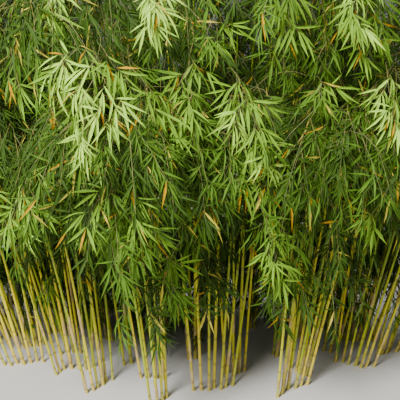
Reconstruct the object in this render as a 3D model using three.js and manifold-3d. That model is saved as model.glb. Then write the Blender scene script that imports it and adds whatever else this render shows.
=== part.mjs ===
// A clump of bamboo, rooted in the ground: slender culms rise in tufts from an oval foot and lean
// outwards, and the plume of leaves that each tuft carries arches over and hangs, like a fountain.
// Millimetres, +Z up. The origin is the flat cut under the middle culm, at ground level. The clump is
// widest along X, and its front faces -Y.

import * as THREE from "three";
import { mergeVertices } from "three/addons/utils/BufferGeometryUtils.js";
import Module from "manifold-3d";

// The oval foot of the clump on the ground. Its tufts of culms crowd towards the rim: they would be
// evenly spaced with a crowding of 0.5, and the less it is, the more of them stand outside.
const FOOT_HALF_WIDTH = 1150;
const FOOT_HALF_DEPTH = 840;
const CROWDING = 0.35;
const GOLDEN_ANGLE = Math.PI * (3 - Math.sqrt(5));
const FIRST_ANGLE = -0.15;

// Culms: radius above the foot, the swelling of the foot, and how far they lean and bow outwards.
const MAIN_RADIUS = 9;
const SISTER_RADIUS = 6.8;
const FLARE = 4.4;
const FLARE_HEIGHT = 32;
const LEAN_SIDEWAYS = 0.27; // horizontal run for each unit of height, at the rim of the foot
const LEAN_FORWARDS = 0.08;
const BOW = 0.00003; // how fast the lean grows, for each millimetre of height
const SPACING = 40; // from a culm to the next of its tuft
const FAN = 0.045; // how far that one leans away
const CULM_GAP = 6; // what culms of two tufts keep clear of each other
const FULL_HEIGHT = 3600; // where a culm would taper away to nothing
const CULM_SIDES = 4;

// Three tiers of tufts, from the middle of the foot to its rim. The main culm of a tuft ends at the
// height of entry. Some tufts of a tier, in a row from its tuft number bearing, carry plumes of leaves:
// a plume goes on from the tip of the main culm and bends over until its end points tilt degrees away
// from upright. Entry and tilt are given for the innermost tuft of the tier and for the outermost.
const TIERS = [
  {
    name: "top",
    tufts: 8,
    culms: 2,
    steps: 3,
    entry: [2250, 1950],
    bearing: 0,
    plumes: 5,
    length: 1100,
    tilt: [30, 120],
    branches: 9,
  },
  {
    name: "middle",
    tufts: 11,
    culms: 4,
    steps: 3,
    entry: [1950, 1500],
    bearing: 2,
    plumes: 8,
    length: 900,
    tilt: [110, 135],
    branches: 6,
  },
  {
    name: "skirt",
    tufts: 20,
    culms: 7,
    steps: 2,
    entry: [1470, 1200],
    bearing: 12,
    plumes: 8,
    length: 630,
    tilt: [125, 142],
    branches: 6,
  },
];
const TUFTS = TIERS.reduce((sum, { tufts }) => sum + tufts, 0);
const MOST_CULMS = Math.max(...TIERS.map(({ culms }) => culms));
const SIDE_LIFT = 150; // how much higher culms end at both ends of the foot than in its middle
const JOINT_GAP = 0.3;
const STALK_TIP_RADIUS = 3;
const STALK_STEPS = 6;
const STALK_CLEARANCE = 26; // from the middle of a culm to the middle of a stalk that passes it
const STALK_CHECK = 10; // step in height at which that distance is looked at

// Side branches of a plume, and the blades on the outer part of each.
const BRANCH_LENGTH = 480;
const BRANCH_RADIUS = 4.5;
const BLADE_LENGTH = 370;
const BLADE_WIDTH = 88;
const BLADE_THICKNESS = 7;
const BLADE_WIDEST = 0.38; // share of the length from the root to the widest place
const CELL_MARGIN = 6; // what a leaf keeps clear of the border with the next plume
const LIMB_MARGIN = 9; // and of every culm
const LOWEST_LEAF = 560;

const UP = new THREE.Vector3(0, 0, 1);

const wasm = await Module();
wasm.setup();

// A number from 0 to 1, and one from -1 to 1, that depend only on two whole-number keys.
function chance(a, b) {
  const wave = Math.sin(a * 12.9898 + b * 78.233) * 43758.5453;
  return wave - Math.floor(wave);
}

function spread(a, b) {
  return 2 * chance(a, b) - 1;
}

function radians(degrees) {
  return (degrees * Math.PI) / 180;
}

// Tufts stand in a sunflower pattern, the first in the middle and the last on the rim. The place is
// given as shares of the foot's half width and half depth.
function placeOf(tuft) {
  const reach = (tuft / (TUFTS - 1)) ** CROWDING;
  const angle = FIRST_ANGLE + tuft * GOLDEN_ANGLE;
  return new THREE.Vector2(reach * Math.cos(angle), reach * Math.sin(angle));
}

// What sets the height of a tuft and its plume, if it carries one.
function growthOf(tuft) {
  let number = tuft;
  for (const tier of TIERS) {
    if (number < tier.tufts) {
      const share = number / (tier.tufts - 1);
      const plume = number - tier.bearing;
      return {
        culms: tier.culms,
        steps: tier.steps,
        entry: THREE.MathUtils.lerp(...tier.entry, share) + 70 * spread(tuft, 4) + SIDE_LIFT * placeOf(tuft).x ** 2,
        name: plume >= 0 && plume < tier.plumes ? `foliage_${tier.name}_${plume + 1}` : null,
        length: tier.length,
        tilt: radians(THREE.MathUtils.lerp(...tier.tilt, share)),
        branches: tier.branches,
      };
    }
    number -= tier.tufts;
  }
  throw new Error(`no tier holds tuft ${tuft}`);
}

// One culm of a tuft: where it stands, how it leans and bows, how thick it is and where it ends.
// The main one, of index 0, has no neighbour. Each sister rises against the foot of its neighbour and
// leans away from it, to one side of the main culm or to the other by turns.
function makeCulm(tuft, index = 0, neighbour = null) {
  const key = tuft * MOST_CULMS + index;
  const place = placeOf(tuft);
  const { entry, steps } = growthOf(tuft);
  const bow = place.clone().multiplyScalar(BOW);
  if (!neighbour) {
    const foot = new THREE.Vector2(FOOT_HALF_WIDTH * place.x, FOOT_HALF_DEPTH * place.y);
    const lean = new THREE.Vector2(
      LEAN_SIDEWAYS * place.x + 0.03 * spread(tuft, 1),
      LEAN_FORWARDS * place.y + 0.03 * spread(tuft, 2),
    );
    return { foot, lean, bow, steps, radius: MAIN_RADIUS * (1 + 0.08 * spread(key, 3)), end: entry };
  }
  const around = 0.7 * spread(tuft, 5) + Math.PI * index + 0.8 * spread(key, 17);
  const away = new THREE.Vector2(Math.cos(around), Math.sin(around));
  return {
    foot: neighbour.foot.clone().addScaledVector(away, SPACING),
    lean: neighbour.lean.clone().addScaledVector(away, FAN * (1 + 0.4 * spread(key, 6))),
    bow,
    steps,
    radius: SISTER_RADIUS * (1 + 0.08 * spread(key, 3)),
    end: entry * (0.86 + 0.12 * chance(key, 7)),
  };
}

function culmPoint(culm, height) {
  return new THREE.Vector3(
    culm.foot.x + culm.lean.x * height + culm.bow.x * height * height,
    culm.foot.y + culm.lean.y * height + culm.bow.y * height * height,
    height,
  );
}

function culmDirection(culm, height) {
  return new THREE.Vector3(
    culm.lean.x + 2 * culm.bow.x * height,
    culm.lean.y + 2 * culm.bow.y * height,
    1,
  ).normalize();
}

function culmRadius(culm, height) {
  return culm.radius * (1 - height / FULL_HEIGHT) * (1 + (FLARE - 1) * Math.max(0, 1 - height / FLARE_HEIGHT));
}

// Whether two culms keep clear of each other all the way up.
function areApart(a, b) {
  const top = Math.min(a.end, b.end);
  return Array.from({ length: 41 }, (_, step) => (top * step) / 40).every((height) => {
    const apart = culmPoint(a, height).distanceTo(culmPoint(b, height));
    return apart >= culmRadius(a, height) + culmRadius(b, height) + CULM_GAP;
  });
}

// The culms of every tuft. A sister that would come near a culm of another tuft is left out, and so is
// the one that would rise against it.
function makeTufts() {
  const rows = Array.from({ length: TUFTS }, (_, tuft) => new Map([[0, makeCulm(tuft)]]));
  rows.forEach((row, tuft) => {
    for (let index = 1; index < growthOf(tuft).culms; index++) {
      const neighbour = row.get(Math.max(0, index - 2));
      if (!neighbour) continue;
      const sister = makeCulm(tuft, index, neighbour);
      const others = rows.filter((other) => other !== row).flatMap((other) => [...other.values()]);
      if (others.every((culm) => areApart(sister, culm))) row.set(index, sister);
    }
  });
  return rows.map((row) => [...row.values()]);
}

// A tapering limb with flat ends: a straight rod of regular section, bent so that each of its rings sits
// on a station. A station has a point, the direction of the limb there, and its radius. The limb bends
// in the plane square to side.
function limb(stations, side, sides) {
  const section = new THREE.Shape();
  section.moveTo(1, 0);
  for (let corner = 1; corner < sides; corner++) {
    const angle = (2 * Math.PI * corner) / sides;
    section.lineTo(Math.cos(angle), Math.sin(angle));
  }
  const steps = stations.length - 1;
  const rod = new THREE.ExtrudeGeometry(section, { depth: steps, steps, bevelEnabled: false });
  const position = rod.getAttribute("position");
  for (let i = 0; i < position.count; i++) {
    const station = stations[Math.round(position.getZ(i))];
    const across = new THREE.Vector3().crossVectors(station.direction, side);
    const corner = station.point
      .clone()
      .addScaledVector(side, position.getX(i) * station.radius)
      .addScaledVector(across, position.getY(i) * station.radius);
    position.setXYZ(i, corner.x, corner.y, corner.z);
  }
  return rod;
}

// A lance-shaped blade of eight faces, from its root along direction, its flat side facing normal.
function bladeGeometry({ root, direction, normal, length }) {
  const shape = new THREE.OctahedronGeometry(1);
  const position = shape.getAttribute("position");
  for (let i = 0; i < position.count; i++) {
    const along = position.getZ(i);
    const share = BLADE_WIDEST + along * (along < 0 ? BLADE_WIDEST : 1 - BLADE_WIDEST);
    position.setXYZ(
      i,
      (position.getX(i) * BLADE_WIDTH) / 2,
      (position.getY(i) * BLADE_THICKNESS) / 2,
      share * length,
    );
  }
  const across = new THREE.Vector3().crossVectors(normal, direction);
  const frame = new THREE.Matrix4().makeBasis(across, normal, direction).setPosition(root);
  return shape.applyMatrix4(frame);
}

function solid(geometry) {
  geometry.deleteAttribute("normal");
  geometry.deleteAttribute("uv");
  const merged = mergeVertices(geometry, 1e-3);
  return new wasm.Manifold(
    new wasm.Mesh({
      numProp: 3,
      vertProperties: merged.getAttribute("position").array,
      triVerts: new Uint32Array(merged.index.array),
    }),
  );
}

function fused(geometries) {
  const { vertProperties, triVerts } = wasm.Manifold.union(geometries.map(solid)).getMesh();
  const geometry = new THREE.BufferGeometry();
  geometry.setAttribute("position", new THREE.BufferAttribute(vertProperties, 3));
  geometry.setIndex(new THREE.BufferAttribute(triVerts, 1));
  geometry.computeVertexNormals();
  return geometry;
}

// The culm's foot is cut flat at ground level and is swollen, as the lowest joints are.
function culmGeometry(culm) {
  const rise = (culm.end - FLARE_HEIGHT) / (culm.steps - 1);
  const stations = [{ point: culmPoint(culm, 0), direction: UP, radius: culmRadius(culm, 0) }];
  for (let step = 0; step < culm.steps; step++) {
    const height = FLARE_HEIGHT + step * rise;
    stations.push({
      point: culmPoint(culm, height),
      direction: culmDirection(culm, height),
      radius: culmRadius(culm, height),
    });
  }
  const side = new THREE.Vector3().crossVectors(UP, culmDirection(culm, culm.end)).normalize();
  return limb(stations, side, CULM_SIDES);
}

// The stalk of a plume carries on from the culm's tip and arches over in an upright plane.
function makeStalk(culm, length, lastTilt) {
  const start = culmDirection(culm, culm.end);
  const outwards = Math.atan2(start.y, start.x);
  const side = new THREE.Vector3(-Math.sin(outwards), Math.cos(outwards), 0);
  const firstTilt = Math.acos(start.z);
  const point = culmPoint(culm, culm.end).addScaledVector(start, JOINT_GAP);
  const stations = [];
  for (let i = 0; i <= STALK_STEPS; i++) {
    const share = i / STALK_STEPS;
    const tilt = THREE.MathUtils.lerp(firstTilt, lastTilt, share);
    const direction = new THREE.Vector3(
      Math.sin(tilt) * Math.cos(outwards),
      Math.sin(tilt) * Math.sin(outwards),
      Math.cos(tilt),
    );
    if (i > 0) point.addScaledVector(direction, length / STALK_STEPS);
    const radius = THREE.MathUtils.lerp(culmRadius(culm, culm.end), STALK_TIP_RADIUS, share);
    stations.push({ point: point.clone(), direction, radius });
  }
  return { stations, side };
}

// The place and direction at a share of the way along a row of stations.
function placeAlong(stations, share) {
  const place = share * (stations.length - 1);
  const before = Math.min(Math.floor(place), stations.length - 2);
  const [a, b] = [stations[before], stations[before + 1]];
  return {
    point: a.point.clone().lerp(b.point, place - before),
    direction: a.direction.clone().lerp(b.direction, place - before).normalize(),
  };
}

// Side branches leave the stalk to the left and the right by turns, turned now up and now down, and
// their outer halves sag.
function makeBranch(plume, index) {
  const key = plume.tuft * 40 + index;
  const share = 0.1 + (0.82 * index) / (plume.branches - 1);
  const { point, direction } = placeAlong(plume.stalk.stations, share);
  const turn = radians(-15 + 50 * spread(key, 11));
  const across = new THREE.Vector3().crossVectors(direction, plume.stalk.side);
  const first = plume.stalk.side
    .clone()
    .multiplyScalar(index % 2 ? -Math.cos(turn) : Math.cos(turn))
    .addScaledVector(across, -Math.sin(turn))
    .addScaledVector(direction, 0.55)
    .normalize();
  const second = first.clone().addScaledVector(UP, -1.3).normalize();
  const half = (BRANCH_LENGTH * (1.15 - 0.5 * share) * (1 + 0.15 * spread(key, 12))) / 2;
  const elbow = point.clone().addScaledVector(first, half);
  const tip = elbow.clone().addScaledVector(second, half);
  const middle = first.clone().add(second).normalize();
  return {
    key,
    side: new THREE.Vector3().crossVectors(first, UP).normalize(),
    stations: [
      { point, direction: first, radius: BRANCH_RADIUS },
      { point: elbow, direction: middle, radius: BRANCH_RADIUS * 0.8 },
      { point: tip, direction: second, radius: BRANCH_RADIUS * 0.6 },
    ],
  };
}

// Blades stand off a branch to the left and the right by turns, and the last one carries it on. All hang
// a little, and turn their flat side up.
function bladesOf(branch) {
  return [
    { share: 0.45, turn: 0.9 },
    { share: 0.72, turn: -0.8 },
    { share: 0.97, turn: 0.1 },
  ].map(({ share, turn }, i) => {
    const key = branch.key * 4 + i;
    const twig = placeAlong(branch.stations, share);
    const direction = twig.direction
      .clone()
      .addScaledVector(branch.side, turn + 0.15 * spread(key, 21))
      .addScaledVector(UP, -0.7 + 0.2 * spread(key, 22))
      .normalize();
    const across = new THREE.Vector3().crossVectors(direction, UP).normalize();
    const normal = new THREE.Vector3().crossVectors(across, direction).applyAxisAngle(direction, spread(key, 24));
    const length = BLADE_LENGTH * (1 + 0.12 * spread(key, 23));
    return { root: twig.point.addScaledVector(direction, -3), direction, normal, length };
  });
}

// Distance from a point to the middle line of a plume's stalk.
function distanceToStalk(point, { stations }) {
  const nearest = new THREE.Vector3();
  const distances = stations.slice(1).map((station, i) => {
    new THREE.Line3(stations[i].point, station.point).closestPointToPoint(point, true, nearest);
    return nearest.distanceTo(point);
  });
  return Math.min(...distances);
}

// A culm that would run into the stalk of a plume ends below it.
function endBelowStalks(culm, plumes) {
  for (let height = culm.end / 2; height < culm.end; height += STALK_CHECK) {
    const point = culmPoint(culm, height);
    if (plumes.some(({ stalk }) => distanceToStalk(point, stalk) < STALK_CLEARANCE)) return height - STALK_CHECK;
  }
  return culm.end;
}

// A plume keeps to the space that is nearer to its own stalk than to any other, and clear of all culms.
function fits(points, plume, plumes, culms) {
  return points.every((point) => {
    const own = distanceToStalk(point, plume.stalk) + 2 * CELL_MARGIN;
    return (
      point.z > LOWEST_LEAF &&
      plumes.every((other) => other === plume || distanceToStalk(point, other.stalk) > own) &&
      culms.every((culm) => isClearOf(point, culm))
    );
  });
}

function isClearOf(point, culm) {
  if (point.z > culm.end + LIMB_MARGIN) return true;
  const middle = culmPoint(culm, point.z);
  return Math.hypot(point.x - middle.x, point.y - middle.y) > 1.1 * culmRadius(culm, point.z) + LIMB_MARGIN;
}

// Points down both edges of a blade, and points along a branch, to test whether it fits.
function bladeSamples({ root, direction, normal, length }) {
  const across = new THREE.Vector3().crossVectors(normal, direction);
  const tip = root.clone().addScaledVector(direction, length);
  return [-0.5, 0.5].flatMap((edge) => {
    const widest = root
      .clone()
      .addScaledVector(direction, BLADE_WIDEST * length)
      .addScaledVector(across, edge * BLADE_WIDTH);
    return [0.25, 0.5, 0.75, 1].flatMap((share) => [root.clone().lerp(widest, share), widest.clone().lerp(tip, share)]);
  });
}

function branchSamples(branch) {
  return [0.15, 0.3, 0.5, 0.65, 0.8, 1].map((share) => placeAlong(branch.stations, share).point);
}

// The stalk's own last stretch carries blades as a branch does.
function plumeGeometry(plume, plumes, culms) {
  const { branches } = plume;
  const { stations, side } = plume.stalk;
  const end = { key: plume.tuft * 40 + branches, side, stations: stations.slice(-3) };
  const pieces = [limb(stations, side, 3)];
  for (let i = 0; i <= branches; i++) {
    const branch = i < branches ? makeBranch(plume, i) : end;
    if (branch !== end && !fits(branchSamples(branch), plume, plumes, culms)) continue;
    const blades = bladesOf(branch).filter((blade) => fits(bladeSamples(blade), plume, plumes, culms));
    if (branch !== end && blades.length) pieces.push(limb(branch.stations, branch.side, 3));
    pieces.push(...blades.map(bladeGeometry));
  }
  return fused(pieces);
}

const culmMaterial = new THREE.MeshStandardMaterial({ color: 0x9a9a3c, roughness: 0.45, metalness: 0 });
const foliageMaterial = new THREE.MeshStandardMaterial({ color: 0x6f9a3e, roughness: 0.6, metalness: 0 });

const tufts = makeTufts();
const plumes = tufts
  .map(([culm], tuft) => {
    const { name, length, tilt, branches } = growthOf(tuft);
    return { name, tuft, culm, branches, stalk: makeStalk(culm, length, tilt) };
  })
  .filter(({ name }) => name);
for (const culm of tufts.flat()) {
  if (plumes.every((plume) => plume.culm !== culm)) culm.end = endBelowStalks(culm, plumes);
}

const clump = new THREE.Group();
clump.name = "bamboo_clump";

tufts.forEach((culms, tuft) => {
  const mesh = new THREE.Mesh(fused(culms.map(culmGeometry)), culmMaterial);
  mesh.name = `culm_tuft_${tuft + 1}`;
  clump.add(mesh);
});

for (const plume of plumes) {
  const mesh = new THREE.Mesh(plumeGeometry(plume, plumes, tufts.flat()), foliageMaterial);
  mesh.name = plume.name;
  clump.add(mesh);
}

export default clump;
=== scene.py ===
import math

import bpy
import numpy as np
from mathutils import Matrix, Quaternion, Vector


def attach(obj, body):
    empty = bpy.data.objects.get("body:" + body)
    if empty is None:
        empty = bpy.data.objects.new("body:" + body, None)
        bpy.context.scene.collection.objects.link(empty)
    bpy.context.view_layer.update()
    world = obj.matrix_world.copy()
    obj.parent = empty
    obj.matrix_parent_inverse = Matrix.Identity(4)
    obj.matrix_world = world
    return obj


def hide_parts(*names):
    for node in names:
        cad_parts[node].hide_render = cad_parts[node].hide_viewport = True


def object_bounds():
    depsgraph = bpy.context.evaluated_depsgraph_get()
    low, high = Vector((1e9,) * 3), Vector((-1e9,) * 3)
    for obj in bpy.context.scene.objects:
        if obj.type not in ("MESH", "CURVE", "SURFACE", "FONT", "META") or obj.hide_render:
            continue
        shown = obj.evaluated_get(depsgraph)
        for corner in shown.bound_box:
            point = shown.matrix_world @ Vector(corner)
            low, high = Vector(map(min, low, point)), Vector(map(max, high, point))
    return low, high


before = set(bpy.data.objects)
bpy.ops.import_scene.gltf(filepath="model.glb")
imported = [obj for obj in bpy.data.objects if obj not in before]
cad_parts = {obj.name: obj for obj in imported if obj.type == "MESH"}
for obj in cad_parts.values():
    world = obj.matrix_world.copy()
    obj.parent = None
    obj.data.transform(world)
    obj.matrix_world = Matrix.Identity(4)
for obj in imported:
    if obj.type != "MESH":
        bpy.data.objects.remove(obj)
cad_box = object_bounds()

# The view is taken in front of the clump, from 1.5 m above the ground and a little downwards. It takes in
# the front of the crown and the feet of the culms, but not the top.
EYE = (0, -4.2, 1.5)
LOOK_DOWN = math.radians(8.9)
FRAME_WIDTH = 400  # pixels
FOCAL_LENGTH = 737  # pixels
FILM_WIDTH = 36  # mm

view = bpy.data.objects.new("view", bpy.data.cameras.new("view"))
view.data.sensor_width = FILM_WIDTH
view.data.lens = FILM_WIDTH * FOCAL_LENGTH / FRAME_WIDTH
view.location = EYE
view.rotation_euler = (math.pi / 2 - LOOK_DOWN, 0, 0)
bpy.context.collection.objects.link(view)
bpy.context.scene.camera = view

# The clump stands on an oval foot. Its culms come up in tufts, set like the seeds of a sunflower: the
# first in the middle, the last on the rim, and most of them crowded towards the rim. The further out a tuft
# stands, the lower it ends, and some tufts of each of the three tiers carry a long plume of leaves.
FOOT_HALF_WIDTH = 1.15
FOOT_HALF_DEPTH = 0.84
CROWDING = 0.35  # the less it is, the more tufts stand near the rim
GOLDEN_ANGLE = math.pi * (3 - math.sqrt(5))
FIRST_ANGLE = -0.15
END_VARIETY = 0.07
SIDE_LIFT = 0.15  # how much higher culms end at both ends of the foot than in its middle

# The main culm of a tuft ends at the height of entry. From its tuft number bearing on, so many tufts of a
# tier carry plumes, and a plume bends over until its tip points tilt degrees away from upright. Entry and
# tilt are given for the innermost tuft of the tier and for the outermost.
TIERS = (
    dict(
        name="top",
        tufts=8,
        culms=2,
        entry=(2.25, 1.95),
        bearing=0,
        plumes=5,
        length=1.10,
        tilt=(30, 120),
        branches=9,
    ),
    dict(
        name="middle",
        tufts=11,
        culms=4,
        entry=(1.95, 1.50),
        bearing=2,
        plumes=8,
        length=0.90,
        tilt=(110, 135),
        branches=6,
    ),
    dict(
        name="skirt",
        tufts=20,
        culms=7,
        entry=(1.47, 1.20),
        bearing=12,
        plumes=8,
        length=0.63,
        tilt=(125, 142),
        branches=6,
    ),
)
TUFTS = sum(tier["tufts"] for tier in TIERS)
RIM_TUFTS = TIERS[-1]["tufts"]
MOST_CULMS = max(tier["culms"] for tier in TIERS)


def chance(key, draw):
    """A number from 0 to 1 that depends only on a thing's own key and on which draw this is."""
    wave = math.sin(key * 12.9898 + draw * 78.233) * 43758.5453
    return wave - math.floor(wave)


def spread(key, draw):
    return 2 * chance(key, draw) - 1


def lerp(a, b, share):
    return a + (b - a) * share


def place_of(tuft):
    """Where a tuft stands, as shares of the foot's half width and half depth."""
    reach, angle = (tuft / (TUFTS - 1)) ** CROWDING, FIRST_ANGLE + tuft * GOLDEN_ANGLE
    return Vector((reach * math.cos(angle), reach * math.sin(angle), 0))


def growth_of(tuft):
    """What sets the height of a tuft, and its plume if it carries one."""
    number = tuft
    for tier in TIERS:
        if number < tier["tufts"]:
            share, plume = number / (tier["tufts"] - 1), number - tier["bearing"]
            rise = END_VARIETY * spread(tuft, 4) + SIDE_LIFT * place_of(tuft).x ** 2
            return dict(
                tier,
                entry=lerp(*tier["entry"], share) + rise,
                tilt=math.radians(lerp(*tier["tilt"], share)),
                name=f"foliage_{tier['name']}_{plume + 1}" if 0 <= plume < tier["plumes"] else None,
            )
        number -= tier["tufts"]
    raise ValueError(f"no tier holds tuft {tuft}")


# A culm is a slender woody tube that leans outwards and bows a little. The main one of a tuft stands in a
# row of thinner sisters, each grown against the swollen foot of the one before. Joints part it into
# internodes, which are shortest near the ground.
MAIN_RADIUS = 0.009
SISTER_RADIUS = 0.0068
RADIUS_VARIETY = 0.08
FULL_HEIGHT = 3.6  # where a culm would taper away to nothing
FLARE = 4.4  # times the radius, at the ground
FLARE_HEIGHT = 0.032
LEAN_SIDEWAYS = 0.27
LEAN_FORWARDS = 0.08
LEAN_VARIETY = 0.03
BOW = 0.03  # for each metre of height
SPACING = 0.040  # from a culm to the next of its tuft
FAN = 0.045  # how far that one leans away
FAN_VARIETY = 0.4
ROW_TURN = 0.7  # how far a tuft's row of culms may be turned, in radians
ROW_WAVER = 0.8  # how far a sister may stand out of the row
SISTER_END = 0.86  # share of the main culm's height that a sister reaches at least
SISTER_END_VARIETY = 0.12
CULM_GAP = 0.006  # what culms of two tufts keep clear of each other
GAP_STEPS = 40

JOINT_GAP = 0.0003
STALK_STEPS = 6
STALK_CLEARANCE = 0.026  # from the middle of a culm to the middle of a stalk that passes it
STALK_CHECK = 0.01  # step in height at which that distance is looked at

LOWEST_JOINT = 0.02
LOWEST_JOINT_VARIETY = 0.03
JOINTLESS_TIP = 0.03
SHORTEST_INTERNODE = 0.06
SHORTEST_VARIETY = 0.3
LONGEST_INTERNODE = 0.26
LONGEST_VARIETY = 0.2
INTERNODE_GROWTH = 1.4  # from one internode to the next above it


def distance_to(stations, point):
    """Distance from a point to the line through a row of (point, direction) stations."""
    distances = []
    for (a, _), (b, _) in zip(stations, stations[1:]):
        share = (point - a).dot(b - a) / (b - a).length_squared
        distances.append((a.lerp(b, min(1, max(0, share))) - point).length)
    return min(distances)


class Culm:
    """The middle line and the thickness of one culm."""

    def __init__(self, tuft, index=0, neighbour=None):
        self.key = tuft * MOST_CULMS + index
        place = place_of(tuft)
        self.bow = BOW * place
        self.end = growth_of(tuft)["entry"]
        girth = SISTER_RADIUS if neighbour else MAIN_RADIUS
        self.radius = girth * (1 + RADIUS_VARIETY * spread(self.key, 3))
        if neighbour:
            row = ROW_TURN * spread(tuft, 5) + math.pi * index
            around = row + ROW_WAVER * spread(self.key, 17)
            away = Vector((math.cos(around), math.sin(around), 0))
            self.foot = neighbour.foot + SPACING * away
            self.lean = neighbour.lean + FAN * (1 + FAN_VARIETY * spread(self.key, 6)) * away
            self.end *= SISTER_END + SISTER_END_VARIETY * chance(self.key, 7)
        else:
            self.foot = Vector((FOOT_HALF_WIDTH * place.x, FOOT_HALF_DEPTH * place.y, 0))
            sideways = LEAN_SIDEWAYS * place.x + LEAN_VARIETY * spread(tuft, 1)
            forwards = LEAN_FORWARDS * place.y + LEAN_VARIETY * spread(tuft, 2)
            self.lean = Vector((sideways, forwards, 1))

    def point(self, height):
        return self.foot + self.lean * height + self.bow * height * height

    def direction(self, height):
        return (self.lean + 2 * height * self.bow).normalized()

    def thickness(self, height, flare=FLARE):
        swelling = (flare - 1) * max(0, 1 - height / FLARE_HEIGHT)
        return self.radius * (1 - height / FULL_HEIGHT) * (1 + swelling)

    def is_clear_of(self, other):
        """Whether the culm keeps clear of one of another tuft, all the way up."""
        for step in range(GAP_STEPS + 1):
            height = min(self.end, other.end) * step / GAP_STEPS
            apart = (self.point(height) - other.point(height)).length
            if apart < self.thickness(height) + other.thickness(height) + CULM_GAP:
                return False
        return True

    def end_below(self, stalks):
        """Cuts a culm that would run into one of the stalks below it."""
        height = self.end / 2
        while height < self.end:
            if any(distance_to(stalk, self.point(height)) < STALK_CLEARANCE for stalk, _ in stalks):
                self.end = height - STALK_CHECK
                return
            height += STALK_CHECK

    def stalk(self, length, last_tilt):
        """Stations of a stalk that goes on from the culm and arches over in an upright plane, and the
        direction that points to its side."""
        start = self.direction(self.end)
        outwards, first_tilt = math.atan2(start.y, start.x), math.acos(start.z)
        point, stations = self.point(self.end) + JOINT_GAP * start, []
        for i in range(STALK_STEPS + 1):
            tilt = lerp(first_tilt, last_tilt, i / STALK_STEPS)
            flat = math.sin(tilt)
            direction = Vector((flat * math.cos(outwards), flat * math.sin(outwards), math.cos(tilt)))
            if i:
                point = point + direction * length / STALK_STEPS
            stations.append((point, direction))
        return stations, Vector((-math.sin(outwards), math.cos(outwards), 0))

    def nodes(self):
        """Heights of the joints."""
        heights, height = [], LOWEST_JOINT + LOWEST_JOINT_VARIETY * chance(self.key, 9)
        internode = SHORTEST_INTERNODE * (1 + SHORTEST_VARIETY * spread(self.key, 8))
        longest = LONGEST_INTERNODE * (1 + LONGEST_VARIETY * spread(self.key, 10))
        while height < self.end - JOINTLESS_TIP:
            heights.append(height)
            internode = min(internode * INTERNODE_GROWTH, longest)
            height += internode
        return heights


rows = [{0: Culm(tuft)} for tuft in range(TUFTS)]
for tuft, row in enumerate(rows):
    others = [culm for other in rows if other is not row for culm in other.values()]
    for index in range(1, growth_of(tuft)["culms"]):
        neighbour = row.get(max(0, index - 2))
        sister = neighbour and Culm(tuft, index, neighbour)
        if sister and all(sister.is_clear_of(culm) for culm in others):
            row[index] = sister
tufts = [list(row.values()) for row in rows]
growths = [growth_of(tuft) for tuft in range(TUFTS)]
stalks = {
    tuft: tufts[tuft][0].stalk(growth["length"], growth["tilt"])
    for tuft, growth in enumerate(growths)
    if growth["name"]
}
for tuft, culms in enumerate(tufts):
    for culm in culms[1:] if tuft in stalks else culms:
        culm.end_below(stalks.values())

# The culms are round and glossy, ringed at each joint by the scar of a fallen sheath and a ridge above
# it. Their wood ripens to yellow and gold, culm by culm, with fine lengthwise streaks, and painted shade
# of the crown darkens it to green the higher it stands. A pale bloom lies below each ring, and the
# foot is dry.
CULM_SIDES = 10
SHOWN_FLARE = 1.35  # times the radius, as far as the swelling shows above the ground
SUNK = 0.01  # how far a culm runs on below the ground before it is cut flat there
SLENDER_TIP = 0.35  # share of the radius that is left at the top of a culm that carries no plume
RINGLESS_TIP = 0.01
RING = (  # height from the joint, share of the radius, and place in the internode, from 0 to 1 at its top
    (-0.006, 1.0, 1.0),
    (-0.002, 1.09, 1.0),
    (0.0, 0.97, 0.0),
    (0.003, 1.13, 0.0),
    (0.010, 1.0, 0.0),
    (0.05, 1.0, 0.3),
)
MID_INTERNODE = 0.5
# From darker green, where painted shade of the crown falls, to the yellow and gold of ripe wood.
RIPENING_AND_PAINTED_SHADE = (
    (0.0, (0.12, 0.21, 0.005)),
    (0.3, (0.30, 0.37, 0.008)),
    (0.6, (0.55, 0.52, 0.012)),
    (0.85, (0.70, 0.57, 0.02)),
    (1.0, (0.74, 0.54, 0.06)),
)
DRY_FOOT = (0.42, 0.3, 0.13)
BLOOM = (0.6, 0.56, 0.2)
SCAR = (0.16, 0.1, 0.04)
STREAKS = (260, 260, 7)  # to the metre, across the culm and along it
BLOTCHES = 9  # to the metre


class Flow:
    """A socket in a tree of nodes. Arithmetic on it adds Math nodes."""

    def __init__(self, tree, socket=None):
        self.tree, self.socket = tree, socket

    def add(self, kind, inputs=(), output=0, **settings):
        """A new node of that kind, with its settings made first and then its inputs set or linked."""
        node = self.tree.nodes.new(kind)
        for name, value in settings.items():
            if name == "stops":
                ramp = node.color_ramp.elements
                for place, _ in value[1:-1]:
                    ramp.new(place)
                for stop, (place, colour) in zip(ramp, value):
                    stop.position, stop.color = place, (*colour, 1)
            else:
                setattr(node, name, value)
        for key, value in dict(inputs).items():
            if isinstance(value, Flow):
                self.tree.links.new(value.socket, node.inputs[key])
            else:
                node.inputs[key].default_value = value
        return Flow(self.tree, node.outputs[output] if node.outputs else None)

    def output(self, name):
        return Flow(self.tree, self.socket.node.outputs[name])

    def math(self, operation, first, second):
        return self.add("ShaderNodeMath", {0: first, 1: second}, operation=operation)

    def __add__(self, other):
        return self.math("ADD", self, other)

    def __sub__(self, other):
        return self.math("SUBTRACT", self, other)

    def __rsub__(self, other):
        return self.math("SUBTRACT", other, self)

    def __mul__(self, other):
        return self.math("MULTIPLY", self, other)

    __radd__, __rmul__ = __add__, __mul__


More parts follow.
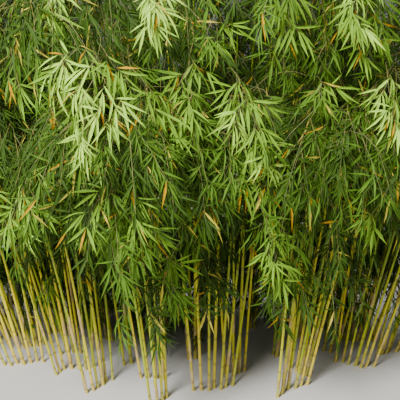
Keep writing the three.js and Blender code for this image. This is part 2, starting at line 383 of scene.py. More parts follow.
def growth_tree(name, **inputs):
    """A Geometry Nodes tree with named inputs, its first flow, and the modifier's names for the inputs."""
    tree = bpy.data.node_groups.new(name, "GeometryNodeTree")
    tree.interface.new_socket("Geometry", in_out="INPUT", socket_type="NodeSocketGeometry")
    tree.interface.new_socket("Geometry", in_out="OUTPUT", socket_type="NodeSocketGeometry")
    names = {
        label: tree.interface.new_socket(label, in_out="INPUT", socket_type=kind).identifier
        for label, kind in inputs.items()
    }
    return tree, Flow(tree).add("NodeGroupInput"), names


def named(flow, name, kind):
    return flow.add("GeometryNodeInputNamedAttribute", {"Name": name}, data_type=kind)


# Lines become round limbs: a regular section follows each line and takes its thickness from the line.
limbs, given, limb_inputs = growth_tree(
    "limbs_along_lines", Sides="NodeSocketInt", Bark="NodeSocketMaterial"
)
line = given.add("GeometryNodeMeshToCurve", {"Mesh": given})
section = given.add(
    "GeometryNodeCurvePrimitiveCircle", {"Resolution": given.output("Sides"), "Radius": 1.0}
)
thickness = named(line, "thickness", "FLOAT")
limb = line.add(
    "GeometryNodeCurveToMesh",
    {"Curve": line, "Profile Curve": section, "Scale": thickness, "Fill Caps": True},
)
limb = limb.add("GeometryNodeSetMaterial", {"Geometry": limb, "Material": given.output("Bark")})
limb.add("NodeGroupOutput", {"Geometry": limb})


def lines_object(name, lines, **attributes):
    """An object of open lines. A line is a list of points, and an attribute has a list for each line."""
    mesh = bpy.data.meshes.new(name)
    starts = np.cumsum([0] + [len(line) for line in lines])
    edges = [(i, i + 1) for a, b in zip(starts, starts[1:]) for i in range(a, b - 1)]
    mesh.from_pydata([point for line in lines for point in line], edges, [])
    for label, rows in attributes.items():
        values = [value for row in rows for value in row]
        mesh.attributes.new(label, "FLOAT", "POINT").data.foreach_set("value", values)
    return bpy.data.objects.new(name, mesh)


def grown(source, tree, names, **inputs):
    """The plain mesh piece that a tree makes of an object, which it replaces under the same name."""
    bpy.context.collection.objects.link(source)
    modifier = source.modifiers.new("growth", "NODES")
    modifier.node_group = tree
    for label, value in inputs.items():
        modifier[names[label]] = value
    depsgraph = bpy.context.evaluated_depsgraph_get()
    mesh = bpy.data.meshes.new_from_object(source.evaluated_get(depsgraph), depsgraph=depsgraph)
    name = source.name
    bpy.data.objects.remove(source)
    mesh.name = name
    piece = bpy.data.objects.new(name, mesh)
    bpy.context.collection.objects.link(piece)
    return piece


def smooth(piece):
    piece.data.polygons.foreach_set("use_smooth", [True] * len(piece.data.polygons))
    return piece


def principled(name):
    """A new material, the flow of its tree, and its main shader node."""
    material = bpy.data.materials.new(name)
    material.use_nodes = True
    return material, Flow(material.node_tree), material.node_tree.nodes["Principled BSDF"]


def feed(flow, shader, socket):
    flow.tree.links.new(flow.socket, shader.inputs[socket])


def between(flow, low, high):
    """A mask that goes from 0 to 1 while the flow goes from low to high."""
    return flow.add("ShaderNodeMapRange", {0: flow, 1: low, 2: high})


def mixed(colour, other, share):
    """A colour turned towards another one, by a share that may vary."""
    return colour.add(
        "ShaderNodeMix", {0: share, 6: colour, 7: (*other, 1)}, output=2, data_type="RGBA"
    )


culm_finish, wood, shader = principled("culm_wood")
place = wood.add("ShaderNodeTexCoord", output="Object")
height = place.add("ShaderNodeSeparateXYZ", {0: place}, output="Z")
ripeness = place.add("ShaderNodeAttribute", attribute_name="ripeness", output=2)
joint = place.add("ShaderNodeAttribute", attribute_name="joint", output=2)
streaks = place.add("ShaderNodeMapping", {"Vector": place, "Scale": STREAKS})
streaks = streaks.add("ShaderNodeTexNoise", {"Vector": streaks, "Detail": 3.0, "Scale": 1.0})
blotches = place.add("ShaderNodeTexNoise", {"Vector": place, "Detail": 2.0, "Scale": BLOTCHES})
# Painted shade: from 0.1 m to 1.1 m up, the wood is darkened towards green for the shade of the crown.
painted_crown_shade = between(height, 0.1, 1.1)
ripeness_and_painted_shade = 0.02 + ripeness * 0.6 - painted_crown_shade * 0.54 + streaks * 0.28 + blotches * 0.3
dry = 0.6 * (1 - between(height, 0.0, 0.12)) * (0.4 + blotches)
bloom = 0.12 * between(joint, 0.8, 0.97)
scar = 0.5 * (1 - between(joint, 0.0, 0.06))
colour = ripeness_and_painted_shade.add("ShaderNodeValToRGB", {0: ripeness_and_painted_shade}, stops=RIPENING_AND_PAINTED_SHADE)
colour = mixed(mixed(mixed(colour, DRY_FOOT, dry), BLOOM, bloom), SCAR, scar)
relief = streaks.add("ShaderNodeBump", {"Strength": 0.25, "Distance": 0.0006, "Height": streaks})
feed(colour, shader, "Base Color")
feed(0.3 + bloom * 0.5 + streaks * 0.15, shader, "Roughness")
feed(relief, shader, "Normal")
shader.inputs["Specular IOR Level"].default_value = 0.3

for tuft, culms in enumerate(tufts):
    lines, thickness, joints, ripe = [], [], [], []
    for culm in culms:
        carries_plume = tuft in stalks and culm is culms[0]
        stations = [(-SUNK, 1.0, MID_INTERNODE)]
        for node in culm.nodes():
            stations += [(node + up, share, at) for up, share, at in RING]
        stations = sorted(station for station in stations if station[0] < culm.end - RINGLESS_TIP)
        stations.append((culm.end, 1.0 if carries_plume else SLENDER_TIP, MID_INTERNODE))
        lines.append([culm.point(h) for h, _, _ in stations])
        thickness.append([culm.thickness(max(h, 0), SHOWN_FLARE) * share for h, share, _ in stations])
        joints.append([at for _, _, at in stations])
        ripe.append([chance(culm.key, 13)] * len(stations))
    piece = lines_object(f"culms_{tuft + 1}", lines, thickness=thickness, joint=joints, ripeness=ripe)
    piece = smooth(grown(piece, limbs, limb_inputs, Sides=CULM_SIDES, Bark=culm_finish))
    for corner in piece.data.vertices:
        corner.co.z = max(corner.co.z, 0)
    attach(piece, "root")
    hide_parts(f"culm_tuft_{tuft + 1}")

# Dry sheaths still clasp the lowest internodes: papery tan husks, split down one side and drawn out to
# a point on the other, that stand a little off the wood.
SHEATH_WRAP = math.radians(300)
SHEATH_STEPS = 8
SHEATH_RADIUS = 1.1  # times the culm's, where it is fixed
SHEATH_TOP_RADIUS = 1.12
SHEATH_STANDOFF = 0.15  # how much further its point stands off
SHEATH_WALL = 0.05  # times the culm's radius as well
SHEATH_SLOPE = 0.6  # how far its edges fall below its point, as a share of its length
SHEATH_ROUNDING = 1.4
SHEATH_SEAT = 0.004  # above the joint
SHEATH_REACH = 0.35  # height up to which sheaths are still found
SHEATHS_LOST = 0.5  # share that has fallen, at the ground
SHEATHS_LOST_ABOVE = 0.45  # what is added to it, at that height
SHEATH_LENGTHS = (0.7, 1.05)  # share of the internode
JOINT_KEYS = 20  # keys for the joints of each culm
HUSK_FIBRES = (420, 420, 12)  # to the metre, across the culm and along it
HUSK_PATCHES = 22  # to the metre
HUSK_TONES = ((0.3, (0.25, 0.15, 0.04)), (0.5, (0.5, 0.37, 0.13)), (0.7, (0.74, 0.6, 0.27)))
UP = Vector((0, 0, 1))

sheath = bpy.data.meshes.new("sheath")
corners, faces = [], []
for step in range(SHEATH_STEPS + 1):
    share = 2 * step / SHEATH_STEPS - 1
    turn = share * SHEATH_WRAP / 2
    top = 1 - SHEATH_SLOPE * abs(share) ** SHEATH_ROUNDING
    top_radius = SHEATH_TOP_RADIUS + SHEATH_STANDOFF * (1 - abs(share))
    for wall in (0, SHEATH_WALL):
        for radius, z in ((SHEATH_RADIUS - wall, 0), (top_radius - wall, top)):
            corners.append((radius * math.cos(turn), radius * math.sin(turn), z))
for step in range(SHEATH_STEPS):
    a, b = 4 * step, 4 * step + 4
    faces += [(a, b, b + 1, a + 1), (a + 3, b + 3, b + 2, a + 2)]
    faces += [(a + 1, b + 1, b + 3, a + 3), (a + 2, b + 2, b, a)]
last = 4 * SHEATH_STEPS
faces += [(0, 1, 3, 2), (last + 2, last + 3, last + 1, last)]
sheath.from_pydata(corners, [], faces)
sheath_shape = bpy.data.objects.new("sheath", sheath)
bpy.context.collection.objects.link(sheath_shape)

# Copies of a shape are set on points that say how each is turned and sized.
scatter, given, scatter_inputs = growth_tree(
    "shapes_on_points", Shape="NodeSocketObject", Finish="NodeSocketMaterial"
)
shape = given.add("GeometryNodeObjectInfo", {"Object": given.output("Shape")}, output="Geometry")
copies = given.add(
    "GeometryNodeInstanceOnPoints",
    {
        "Points": given,
        "Instance": shape,
        "Rotation": named(given, "turn", "QUATERNION"),
        "Scale": named(given, "size", "FLOAT_VECTOR"),
    },
)
copies = copies.add("GeometryNodeRealizeInstances", {"Geometry": copies})
copies = copies.add("GeometryNodeSetMaterial", {"Geometry": copies, "Material": given.output("Finish")})
copies.add("NodeGroupOutput", {"Geometry": copies})


def points_object(name, points, turns, sizes):
    """An object of loose points with a quaternion and a size in each."""
    mesh = bpy.data.meshes.new(name)
    mesh.vertices.add(len(points))
    mesh.vertices.foreach_set("co", np.ravel(points))
    mesh.attributes.new("turn", "QUATERNION", "POINT").data.foreach_set("value", np.ravel(turns))
    mesh.attributes.new("size", "FLOAT_VECTOR", "POINT").data.foreach_set("vector", np.ravel(sizes))
    return bpy.data.objects.new(name, mesh)


sheath_finish, husk, shader = principled("sheath_husk")
place = husk.add("ShaderNodeTexCoord", output="Object")
fibres = place.add("ShaderNodeMapping", {"Vector": place, "Scale": HUSK_FIBRES})
fibres = fibres.add("ShaderNodeTexNoise", {"Vector": fibres, "Detail": 3.0, "Scale": 1.0})
patches = place.add("ShaderNodeTexNoise", {"Vector": place, "Detail": 2.0, "Scale": HUSK_PATCHES})
tone = fibres * 0.5 + patches * 0.5
relief = fibres.add("ShaderNodeBump", {"Strength": 0.5, "Distance": 0.001, "Height": fibres})
feed(tone.add("ShaderNodeValToRGB", {0: tone}, stops=HUSK_TONES), shader, "Base Color")
feed(0.6 + fibres * 0.25, shader, "Roughness")
feed(relief, shader, "Normal")

points, turns, sizes = [], [], []
for culm in [culm for culms in tufts for culm in culms]:
    nodes = culm.nodes()
    for i, (node, above) in enumerate(zip(nodes, nodes[1:])):
        key = culm.key * JOINT_KEYS + i
        lost = SHEATHS_LOST + SHEATHS_LOST_ABOVE * node / SHEATH_REACH
        if node > SHEATH_REACH or chance(key, 14) < lost:
            continue
        upright = culm.direction(node).to_track_quat("Z", "Y")
        girth = culm.thickness(node, SHOWN_FLARE)
        points.append(culm.point(node + SHEATH_SEAT))
        turns.append(upright @ Quaternion(UP, 2 * math.pi * chance(key, 16)))
        sizes.append((girth, girth, (above - node) * lerp(*SHEATH_LENGTHS, chance(key, 15))))
piece = points_object("sheaths", points, turns, sizes)
piece = grown(piece, scatter, scatter_inputs, Shape=sheath_shape, Finish=sheath_finish)
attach(piece, "root")
bpy.data.objects.remove(sheath_shape)

# The crown grows from the tips and the upper joints of the culms. A stalk arches over and carries branches
# to both sides, these carry branchlets, and these short twigs that each end in a fan of leaves. The main
# culms of some tufts carry the long plumes. Other tips and many joints carry smaller sprays of this make.
STALK_TIP_RADIUS = 0.003
FIRST_BRANCH = 0.1  # share of the stalk below it
BRANCHED_SHARE = 0.82  # share of the stalk from the first branch to the last
BRANCH_TURN = math.radians(-15)
BRANCH_TURN_VARIETY = math.radians(50)
BRANCH_FORWARDS = 0.55
BRANCH_SAG = 1.3
BRANCH_LENGTH = 0.48
BRANCH_TAPER = (1.15, 0.5)  # share of that length at the foot of the stalk, and what is lost by its tip
BRANCH_VARIETY = 0.15
BRANCH_RADIUS = 0.0032
BEND_START = 0.6  # share of the inner half of a branch, and then of its outer half
BEND_END = 0.15
BEND_SAG = 0.01

BRANCHLETS = ((0.45, 0.9), (0.72, -0.8), (0.97, 0.1), (0.3, -0.9), (0.6, 0.8))  # share of the branch, turn
BRANCHLET_LENGTH = 0.36  # to the tip of its last leaf
BRANCHLET_LENGTH_VARIETY = 0.12
BRANCHLET_TURN_VARIETY = 0.15
BRANCHLET_RADIUS = 0.0015
BRANCHLET_FALL = 0.7
BRANCHLET_FALL_VARIETY = 0.2
BRANCHLET_SAG = 0.22
BRANCHLET_STEPS = 2
SKYWARDS = 0.5  # how much the leaves of a branchlet turn up, while they face outwards
ROLL_VARIETY = 0.7  # radians

TWIG_PLACES = (0.25, 0.45, 0.65, 0.85)
TWIG_LENGTH = 0.045
TWIG_LENGTH_VARIETY = 0.4
TWIG_RADIUS = 0.0009
TWIG_TAPER = 0.7
TWIG_TURN = 0.9
TWIG_TURN_VARIETY = 0.3
TWIG_LIFT_VARIETY = 0.35
TWIG_FALL = 0.2
TWIGS_FROM = 0.95  # painted light above which a spray is seen well enough to show its short twigs
LOWEST_TWIG = 0.12
LEAF_LENGTH = 0.1

CROWN_MIDDLE = Vector((0, 0, 1.5))
CROWN_REACH = (2.1, 1.6, 1.8)
# How much the painted light of a spray, and of each of its fans, differs at random.
SPRAY_PAINTED_LIGHT_VARIETY = 0.28
FAN_PAINTED_LIGHT_VARIETY = 0.18

TOP_SHARE = 0.55  # length of a smaller top, as a share of the plume's
TOP_BRANCHES = 3
TOP_BRANCH_SHARE = 0.7
SHOOT_LENGTH = 0.26
SHOOT_LENGTH_VARIETY = 0.2
SHOOT_TURN_VARIETY = 1.9  # radians
SHOOT_RISE = 0.7
FRONT_ROW = -0.2  # the culms in front of it keep bare feet
LOWEST_SHOOT = 0.7
LOWEST_REAR_SHOOT = 0.4
LOWEST_INNER_SHOOT = 0.1  # inside its rim, behind the front row, the clump is leafy down to its feet
DENSE_ABOVE = 1.2
DENSE_SHARE = 0.93  # of the joints that carry shoots, where the crown is dense
SPARSE_SHARE = 0.5

BRANCH_KEYS = 40  # keys for the branches of each plume
BRANCHLET_KEYS = 4
FAN_KEYS = 8
TOP_KEY = 100
SHOOT_KEY = 9000
SHOOT_KEYS = 30
OPPOSITE_KEY = 10

wood_lines, wood_thickness, fans, boughs = [], [], [], []


def add_wood(points, first, last):
    wood_lines.append(points)
    wood_thickness.append([lerp(first, last, i / (len(points) - 1)) for i in range(len(points))])


def place_along(stations, share):
    """The place and direction at a share of the way along a row of (point, direction) stations."""
    place = share * (len(stations) - 1)
    before = min(int(place), len(stations) - 2)
    (point_a, direction_a), (point_b, direction_b) = stations[before], stations[before + 1]
    direction = direction_a.lerp(direction_b, place - before).normalized()
    return point_a.lerp(point_b, place - before), direction


def painted_light_of(point, key):
    """How pale a spray's leaves are painted: painted light outside the crown, painted shade inside it."""
    outwards = Vector([a / b for a, b in zip(point - CROWN_MIDDLE, CROWN_REACH)]).length
    return outwards + SPRAY_PAINTED_LIGHT_VARIETY * spread(key, 31)


def grow_twigs(line, normal, key, places, painted_light, fan_painted_light):
    """Twigs leave a branchlet to the left and the right by turns, each with a fan of leaves."""
    for number, place in enumerate(places):
        twig = key * FAN_KEYS + number + 1
        root, ahead = place_along(line, place)
        turn = (1 if number % 2 else -1) * (TWIG_TURN + TWIG_TURN_VARIETY * spread(twig, 25))
        lift = TWIG_LIFT_VARIETY * spread(twig, 26) * normal
        out = (ahead + normal.cross(ahead) * turn + lift - TWIG_FALL * UP).normalized()
        end = root
        if painted_light > TWIGS_FROM:
            end = root + out * TWIG_LENGTH * (1 + TWIG_LENGTH_VARIETY * spread(twig, 27))
            add_wood([root, end], TWIG_RADIUS, TWIG_RADIUS * TWIG_TAPER)
        fans.append((end, out, normal, twig, fan_painted_light))


def grow_branchlets(
    stations, side, key, places=BRANCHLETS, twigs=TWIG_PLACES, reach=BRANCHLET_LENGTH, painted_light=None
):
    """Branchlets leave a branch to the left and the right by turns, with leaves that face the light."""
    painted_light = painted_light or painted_light_of(stations[1][0], key)
    for i, (share, turn) in enumerate(places):
        own = key * BRANCHLET_KEYS + i
        point, along = place_along(stations, share)
        sideways = turn + BRANCHLET_TURN_VARIETY * spread(own, 21)
        fall = -BRANCHLET_FALL + BRANCHLET_FALL_VARIETY * spread(own, 22)
        direction = (along + sideways * side + fall * UP).normalized()
        light = Vector((point.x, point.y, 0)).normalized() + SKYWARDS * UP
        normal = (light - light.dot(direction) * direction).normalized()
        normal.rotate(Quaternion(direction, ROLL_VARIETY * spread(own, 24)))
        length = reach * (1 + BRANCHLET_LENGTH_VARIETY * spread(own, 23)) - LEAF_LENGTH
        if point.z + direction.z * length < LOWEST_TWIG:
            continue
        line = [(point, direction)]
        for _ in range(BRANCHLET_STEPS):
            direction = (direction - BRANCHLET_SAG * UP).normalized()
            point = point + direction * length / BRANCHLET_STEPS
            line.append((point, direction))
        add_wood([point for point, _ in line], BRANCHLET_RADIUS, TWIG_RADIUS)
        # Each fan's painted light differs a little from its spray's.
        fan_painted_light = painted_light + FAN_PAINTED_LIGHT_VARIETY * spread(own, 32)
        fans.append((point, direction, normal, own * FAN_KEYS, fan_painted_light))
        grow_twigs(line, normal, own, twigs, painted_light, fan_painted_light)


def grow_branch(point, first, length, key, places=BRANCHLETS):
    """A branch leaves along first and sags on its outer half, round a soft bend."""
    second = (first - BRANCH_SAG * UP).normalized()
    elbow = point + first * length / 2
    tip = elbow + second * length / 2
    bend = [point.lerp(elbow, BEND_START), elbow.lerp(tip, BEND_END) - BEND_SAG * UP]
    add_wood([point, *bend, tip], BRANCH_RADIUS * length / BRANCH_LENGTH, BRANCHLET_RADIUS)
    stations = [(point, first), (elbow, (first + second).normalized()), (tip, second)]
    grow_branchlets(stations, first.cross(UP).normalized(), key, places)


def grow_plume(stalk, side, key, branches, reach, places=BRANCHLETS):
    """Branches leave the stalk to the left and the right by turns, turned now up and now down, and half
    a step after each a second one leaves it. The stalk's last stretch carries branchlets itself."""
    for half_step in range(2 * branches - 1):
        index, is_second = divmod(half_step, 2)
        own = key * BRANCH_KEYS + index + is_second * (branches + 1)
        share = FIRST_BRANCH + BRANCHED_SHARE * half_step / 2 / (branches - 1)
        point, direction = place_along(stalk, share)
        turn = BRANCH_TURN + BRANCH_TURN_VARIETY * spread(own, 11)
        sideways = side * math.cos(turn) * (-1 if index % 2 else 1)
        across = math.sin(turn) * direction.cross(side)
        first = (sideways - across + BRANCH_FORWARDS * direction).normalized()
        length = reach * (BRANCH_TAPER[0] - BRANCH_TAPER[1] * share)
        grow_branch(point, first, length * (1 + BRANCH_VARIETY * spread(own, 12)), own, places)
    grow_branchlets(stalk[-3:], side, key * BRANCH_KEYS + branches)


def grow_shoots(culm, inner):
    """Short leafy shoots leave the joints of a culm, above the height up to which it stays bare."""
    lowest = LOWEST_INNER_SHOOT if inner else LOWEST_REAR_SHOOT
    if culm.foot.y < FRONT_ROW:
        lowest = LOWEST_SHOOT
    for node in [node for node in culm.nodes() if node > lowest]:
        key = SHOOT_KEY + culm.key * SHOOT_KEYS + int(node * 10)
        is_dense = node > DENSE_ABOVE or node < LOWEST_SHOOT
        if chance(key, 19) > (DENSE_SHARE if is_dense else SPARSE_SHARE):
            continue
        around = math.atan2(culm.lean.y, culm.lean.x) + SHOOT_TURN_VARIETY * spread(key, 17)
        length = SHOOT_LENGTH * (1 + SHOOT_LENGTH_VARIETY * spread(key, 18))
        is_paired = node > DENSE_ABOVE or inner or culm.foot.y > 0
        for opposite in range(2 if is_paired else 1):
            turn = around + math.pi * opposite
            first = Vector((math.cos(turn), math.sin(turn), SHOOT_RISE)).normalized()
            grow_branch(culm.point(node), first, length, key + OPPOSITE_KEY * opposite, BRANCHLETS[1:4])


for tuft, culms in enumerate(tufts):
    growth = growths[tuft]
    is_inner = tuft < TUFTS - RIM_TUFTS and culms[0].foot.y > FRONT_ROW
    for culm in culms:
        radius = culm.thickness(culm.end)
        if tuft in stalks and culm is culms[0]:
            stalk, side = stalks[tuft]
            add_wood([point for point, _ in stalk], radius, STALK_TIP_RADIUS)
            grow_plume(stalk, side, tuft, growth["branches"], BRANCH_LENGTH)
        else:
            stalk, side = culm.stalk(TOP_SHARE * growth["length"], growth["tilt"])
            add_wood([point for point, _ in stalk], SLENDER_TIP * radius, TWIG_RADIUS)
            reach = TOP_BRANCH_SHARE * BRANCH_LENGTH
            grow_plume(stalk, side, TOP_KEY + culm.key, TOP_BRANCHES, reach, BRANCHLETS[:3])
        boughs += [point for point, _ in stalk]
        grow_shoots(culm, is_inner)

# Long young sprays hang out in front of the crown, each on a thin wavy bough from the nearest stalk. Their
# branchlets stand close together and lean more and more towards the tip, so that a spray hangs to a point.
SPRAY_STEP = 0.045  # from a branchlet to the next
SPRAY_TWIGS = (0.3, 0.65)
SPRAY_TURN = 1.5  # how far the first branchlet turns aside, and nearly 1 less at the tip
SPRAY_SPREAD = 0.55  # length of a branchlet's wood, as a share of the width that leaves don't fill
LEAST_SPREAD = 0.05
SPRAY_LINE_SHARE = 0.35  # how far its own line reaches at least, as its last leaves carry it on
SPRAY_BULGE = 0.05
SPRAY_WAVER = 0.02
SPRAY_KEY = 5000
SPRAY_KEYS = 20
SPRAY_STEP_KEYS = 40
ROOT_DROP = 0.1  # how far below its spray a bough may start
BOUGH_STEPS = 6
BOUGH_TAPER = 0.8
BOUGH_SWAY = 0.05
BOUGH_RISE = 0.06
BOUGH_RISE_VARIETY = 0.03
BOUGH_KINK = 0.012
FRONT_SPRAYS = (  # where each leaves its bough and where its tip hangs, its width, and its painted light
    ((-0.35, -1.56, 1.64), (-0.41, -1.70, 1.17), 0.34, 1.42),
    ((-0.42, -1.50, 1.65), (-0.62, -1.60, 1.46), 0.24, 1.35),
    ((-0.27, -1.38, 1.60), (-0.07, -1.48, 1.22), 0.23, 1.15),
    ((-0.56, -1.35, 1.87), (-0.49, -1.45, 1.70), 0.23, 1.4),
    ((-0.18, -1.35, 1.89), (-0.18, -1.45, 1.63), 0.20, 1.25),
    ((-0.73, -1.30, 1.64), (-0.66, -1.40, 1.41), 0.20, 1.0),
    ((0.12, -1.38, 1.56), (0.31, -1.52, 1.11), 0.27, 1.25),
    ((0.32, -1.35, 1.87), (0.34, -1.45, 1.62), 0.21, 1.2),
    ((0.55, -1.32, 1.87), (0.64, -1.42, 1.63), 0.23, 1.25),
    ((0.72, -1.32, 1.55), (0.74, -1.44, 1.25), 0.20, 1.45),
    ((-0.66, -1.32, 1.20), (-0.71, -1.42, 0.83), 0.26, 1.32),
    ((-0.14, -1.20, 0.80), (-0.09, -1.24, 0.50), 0.20, 0.98),
    ((-0.04, -1.30, 1.61), (-0.03, -1.42, 1.22), 0.22, 1.1),
    ((0.25, -1.22, 1.01), (0.35, -1.30, 0.63), 0.23, 1.12),
    ((-0.38, -1.15, 0.93), (-0.34, -1.20, 0.77), 0.21, 0.95),
    ((-0.06, -1.15, 0.89), (-0.17, -1.20, 0.66), 0.25, 0.98),
    ((0.46, -1.30, 1.53), (0.47, -1.36, 1.37), 0.18, 1.05),
    ((0.73, -1.15, 1.02), (0.72, -1.20, 0.81), 0.19, 1.0),
    ((0.53, -1.28, 1.32), (0.59, -1.35, 1.13), 0.20, 0.95),
    ((0.06, -1.20, 1.80), (0.08, -1.28, 1.58), 0.26, 1.02),
    ((0.34, -1.18, 1.72), (0.32, -1.26, 1.50), 0.26, 1.04),
    ((0.66, -1.18, 1.75), (0.70, -1.26, 1.50), 0.28, 1.02),
    ((-0.64, -1.18, 1.80), (-0.72, -1.28, 1.56), 0.26, 1.04),
    ((0.49, -1.22, 1.70), (0.50, -1.30, 1.48), 0.26, 1.03),
)

for number, (top, tip, width, painted_light) in enumerate(FRONT_SPRAYS):
    top, tip = Vector(top), Vector(tip)
    starts = [point for point in boughs if point.z > top.z - ROOT_DROP]
    root = min(starts, key=lambda point: (point - top).length)
    rise = BOUGH_RISE + BOUGH_RISE_VARIETY * spread(number, 53)
    arch = Vector((BOUGH_SWAY * spread(number, 52), 0, rise))
    bough = [root]
    for step in range(1, BOUGH_STEPS):
        key = number * (BOUGH_STEPS + 1) + step
        kink = Vector((BOUGH_KINK * spread(key, 54), 0, BOUGH_KINK * spread(key, 55)))
        share = step / BOUGH_STEPS
        bough.append(root.lerp(top, share) + math.sin(math.pi * share) * arch + kink)
    add_wood([*bough, top], BOUGH_TAPER * BRANCH_RADIUS, BRANCHLET_RADIUS)

    reach = LEAF_LENGTH + SPRAY_SPREAD * max(LEAST_SPREAD, width - LEAF_LENGTH)
    tip = top.lerp(tip, max(SPRAY_LINE_SHARE, 1 - reach / (tip - top).length))
    steps = max(2, round((tip - top).length / SPRAY_STEP))
    line = []
    for step in range(steps + 1):
        waver = SPRAY_WAVER * spread(number * SPRAY_STEP_KEYS + step, 51)
        bulge = Vector((waver, -SPRAY_BULGE, 0)) * math.sin(math.pi * step / steps)
        line.append((top.lerp(tip, step / steps) + bulge, (tip - top).normalized()))
    add_wood([point for point, _ in line], BRANCHLET_RADIUS, TWIG_RADIUS)
    places = [
        (step / steps, (SPRAY_TURN - step / steps) * (-1 if step % 2 else 1)) for step in range(steps)
    ]
    key = SPRAY_KEY + SPRAY_KEYS * number
    grow_branchlets(line, Vector((1, 0, 0)), key, [*places, (1, 0)], SPRAY_TWIGS, reach, painted_light)

# The stalks, boughs, branchlets and twigs are thin round wood, green while young and brown with age. They
# are grown together from all the lines above.
LINES_PER_PIECE = 8000
TWIG_SIDES = 3
TWIG_PATCHES = 30  # to the metre
TWIG_TONES = ((0.35, (0.06, 0.09, 0.012)), (0.7, (0.22, 0.18, 0.04)))

twig_finish, bark, shader = principled("twig_wood")
place = bark.add("ShaderNodeTexCoord", output="Object")
patches = place.add("ShaderNodeTexNoise", {"Vector": place, "Detail": 2.0, "Scale": TWIG_PATCHES})
feed(patches.add("ShaderNodeValToRGB", {0: patches}, stops=TWIG_TONES), shader, "Base Color")
shader.inputs["Roughness"].default_value = 0.5

plumes = [growths[tuft]["name"] for tuft in stalks]
for part in range(math.ceil(len(wood_lines) / LINES_PER_PIECE)):
    rows = slice(part * LINES_PER_PIECE, (part + 1) * LINES_PER_PIECE)
    piece = lines_object(f"twigs_{part + 1}", wood_lines[rows], thickness=wood_thickness[rows])
    piece = smooth(grown(piece, limbs, limb_inputs, Sides=TWIG_SIDES, Bark=twig_finish))
    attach(piece, "root")
    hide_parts(*plumes)

# Leaves are thin, narrow lances, pointed at both ends, folded a little along the midrib and bent down by
# their own weight. Up to five fan out from the end of each twig, all of one green, with some tone that
# differs at random. That green is painted light and shade: paler the further out their spray hangs, and
# darker inside the crown. A few leaves everywhere have turned straw yellow or amber.
LEAVES_PER_FAN = 5
FAN_STEP = math.radians(27)
SWING_VARIETY = 0.34
LIFT_VARIETY = 0.5
LEAF_FALL = 0.3
SEAT_STEP = (0.006, 0.014)  # how far back each further leaf sits on its twig, at least and by chance
FACING_VARIETY = 1.4
LENGTH_LOSS = 0.09  # of the leaf length, from one leaf to the next further out in the fan
LONGEST_SHARE = 1.08
LENGTH_SHARES = (0.8, 0.4)  # at least and by chance, as are the next two
WIDTH_SHARES = (0.85, 0.3)
CURL_SHARES = (0.3, 1.4)
LEAF_WIDTH = 0.0098
LEAF_CURL = 0.018
LEAF_FOLD = 0.3
LEAVES_LEFT = 0.88  # share of the places in a fan that hold a leaf
LOWEST_LEAF = 0.02
LEAVES_PER_PIECE = 24000
LEAF_RIBS = 160  # to the metre
TURNED_SHARE = 0.04  # of the leaves, straw yellow or amber
AMBER_SHARE = 0.017
# Painted light and shade: the further out a fan hangs, the paler the green it takes from these steps.
PAINTED_SUNLIT_FROM = 1.3
PAINTED_LIT_FROM = 1.1
MIDDLE_FROM = 0.86


def leaf_object(name, *stations):
    """A leaf of unit size along Y, from its (share of the length, half the width) stations. The first and
    the last are its pointed ends."""
    corners = [
        (side * half, along, LEAF_FOLD * abs(side) * half - along**2)
        for along, half in stations
        for side in ((-1, 0, 1) if half else (0,))
    ]
    last = len(corners) - 1
    faces = [(0, 2, 1), (0, 3, 2), (last - 3, last - 2, last), (last - 2, last - 1, last)]
    for a in range(1, last - 3, 3):
        faces += [(a, a + 1, a + 4, a + 3), (a + 1, a + 2, a + 5, a + 4)]
    mesh = bpy.data.meshes.new(name)
    mesh.from_pydata(corners, [], faces)
    shape = bpy.data.objects.new(name, mesh)
    bpy.context.collection.objects.link(shape)
    return shape


def chances(keys, draw):
    """The same as chance, for an array of keys."""
    wave = np.sin(keys * 12.9898 + draw * 78.233) * 43758.5453
    return wave - np.floor(wave)


def unit(vectors):
    return vectors / np.linalg.norm(vectors, axis=-1, keepdims=True)


def turns_of(across, along, facing):
    """Quaternions that turn X, Y and Z to these three arrays of directions."""
    axes = np.stack([across, along, facing], axis=-1)
    xx, yy, zz = axes[..., 0, 0], axes[..., 1, 1], axes[..., 2, 2]
    trace = xx + yy + zz
    w = np.sqrt(np.maximum(1e-9, 1 + trace)) / 2
    x = np.sqrt(np.maximum(0, 1 + 2 * xx - trace)) / 2 * np.sign(axes[..., 2, 1] - axes[..., 1, 2])
    y = np.sqrt(np.maximum(0, 1 + 2 * yy - trace)) / 2 * np.sign(axes[..., 0, 2] - axes[..., 2, 0])
    z = np.sqrt(np.maximum(0, 1 + 2 * zz - trace)) / 2 * np.sign(axes[..., 1, 0] - axes[..., 0, 1])
    return np.stack([w, x, y, z], axis=-1)


fine_leaf = leaf_object("fine_leaf", (0.0, 0.0), (0.22, 0.42), (0.55, 0.5), (1.0, 0.0))
plain_leaf = leaf_object("plain_leaf", (0.0, 0.0), (0.4, 0.5), (1.0, 0.0))

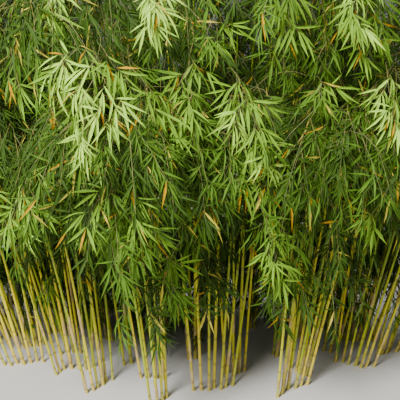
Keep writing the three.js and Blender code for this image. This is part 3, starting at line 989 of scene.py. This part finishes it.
root, ahead, normal, key, painted_light = (np.array(column) for column in zip(*fans))
slot = np.arange(LEAVES_PER_FAN) - (LEAVES_PER_FAN - 1) / 2
own = key[:, None] * LEAVES_PER_FAN + np.arange(LEAVES_PER_FAN)
sideways = np.cross(ahead, normal)
swing = slot * FAN_STEP + SWING_VARIETY * (2 * chances(own, 41) - 1)
lift = LIFT_VARIETY * chances(own, 42) - LIFT_VARIETY / 2
along = unit(
    ahead[:, None] * np.cos(swing)[..., None]
    + sideways[:, None] * np.sin(swing)[..., None]
    + normal[:, None] * lift[..., None]
    - np.array([0, 0, LEAF_FALL])
)
back = np.abs(slot) * (SEAT_STEP[0] + SEAT_STEP[1] * chances(own, 49))
seat = root[:, None] - ahead[:, None] * back[..., None]
facing = normal[:, None] + sideways[:, None] * (FACING_VARIETY * (chances(own, 43) - 0.5))[..., None]
across = unit(np.cross(along, facing))
turn = turns_of(across, along, np.cross(across, along))

length = LEAF_LENGTH * (LONGEST_SHARE - LENGTH_LOSS * np.abs(slot))
length = length * (LENGTH_SHARES[0] + LENGTH_SHARES[1] * chances(own, 44))
width = LEAF_WIDTH * length / LEAF_LENGTH * (WIDTH_SHARES[0] + WIDTH_SHARES[1] * chances(own, 45))
curl = LEAF_CURL * (CURL_SHARES[0] + CURL_SHARES[1] * chances(own, 46))
size = np.stack([width, length, curl], axis=-1)

lowest = seat[..., 2] + np.minimum(0, along[..., 2]) * length
kept = (chances(own, 47) < LEAVES_LEFT) & (lowest > LOWEST_LEAF)
tip = seat + along * length[..., None]
kept &= ((tip > np.array(cad_box[0])) & (tip < np.array(cad_box[1]))).all(axis=-1)

turned = chances(own, 48)
green = turned >= TURNED_SHARE
pale = painted_light[:, None] >= PAINTED_SUNLIT_FROM
fresh = (painted_light[:, None] >= PAINTED_LIT_FROM) & ~pale
middle = (painted_light[:, None] >= MIDDLE_FROM) & ~pale & ~fresh
# Four lit and shaded copies of one leaf green are painted light and shade; straw and amber are the leaves'
# own.
TINTS = (
    ("amber", (0.36, 0.2, 0.0005), plain_leaf, turned < AMBER_SHARE),
    ("straw", (0.40, 0.34, 0.04), plain_leaf, (turned >= AMBER_SHARE) & ~green),
    ("pale", (0.315, 0.52, 0.06), fine_leaf, green & pale),
    ("fresh", (0.15, 0.285, 0.02), fine_leaf, green & fresh),
    ("middle", (0.066, 0.14, 0.009), plain_leaf, green & middle),
    ("deep", (0.029, 0.064, 0.004), plain_leaf, green & ~pale & ~fresh & ~middle),
)
for tint, base_colour, leaf_shape, members in TINTS:
    finish, surface, shader = principled(f"leaf_{tint}")
    place = surface.add("ShaderNodeTexCoord", output="Object")
    ribs = place.add("ShaderNodeTexNoise", {"Vector": place, "Detail": 2.0, "Scale": LEAF_RIBS})
    relief = ribs.add("ShaderNodeBump", {"Strength": 0.2, "Distance": 0.0008, "Height": ribs})
    shader.inputs["Base Color"].default_value = (*base_colour, 1)
    shader.inputs["Specular IOR Level"].default_value = 0.15
    feed(0.55 + ribs * 0.2, shader, "Roughness")
    feed(relief, shader, "Normal")
    seats, turns, sizes = (values[kept & members] for values in (seat, turn, size))
    for part in range(math.ceil(len(seats) / LEAVES_PER_PIECE)):
        rows = slice(part * LEAVES_PER_PIECE, (part + 1) * LEAVES_PER_PIECE)
        piece = points_object(f"leaves_{tint}_{part + 1}", seats[rows], turns[rows], sizes[rows])
        piece = grown(piece, scatter, scatter_inputs, Shape=leaf_shape, Finish=finish)
        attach(piece, "root")
        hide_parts(*plumes)
for shape in (fine_leaf, plain_leaf):
    bpy.data.objects.remove(shape)

# The studio has a plain pale floor, a large soft light in front and above, and a weaker one behind.
FLOOR_REACH = 30
LIGHTS_AIM = Vector((0, 0, 1.2))

floor = bpy.data.meshes.new("floor")
corners = [(x * FLOOR_REACH, y * FLOOR_REACH, 0) for x, y in ((-1, -1), (1, -1), (1, 1), (-1, 1))]
floor.from_pydata(corners, [], [(0, 1, 2, 3)])
floor = bpy.data.objects.new("floor", floor)
bpy.context.collection.objects.link(floor)
floor_finish, _, shader = principled("floor_paper")
shader.inputs["Base Color"].default_value = (0.62, 0.6, 0.56, 1)
shader.inputs["Roughness"].default_value = 0.9
floor.data.materials.append(floor_finish)


def soft_light(name, place, watts, width):
    light = bpy.data.objects.new(name, bpy.data.lights.new(name, "AREA"))
    light.data.energy, light.data.size = watts, width
    light.location = place
    light.rotation_euler = (Vector(place) - LIGHTS_AIM).to_track_quat("Z", "Y").to_euler()
    bpy.context.collection.objects.link(light)


soft_light("key", (-2.8, -7.0, 6.0), 1950, 2.4)
soft_light("back", (3, 7, 6), 450, 4)
world = bpy.data.worlds.new("studio")
world.use_nodes = True
world.node_tree.nodes["Background"].inputs["Color"].default_value = (1, 0.99, 0.96, 1)
world.node_tree.nodes["Background"].inputs["Strength"].default_value = 0.18
bpy.context.scene.world = world
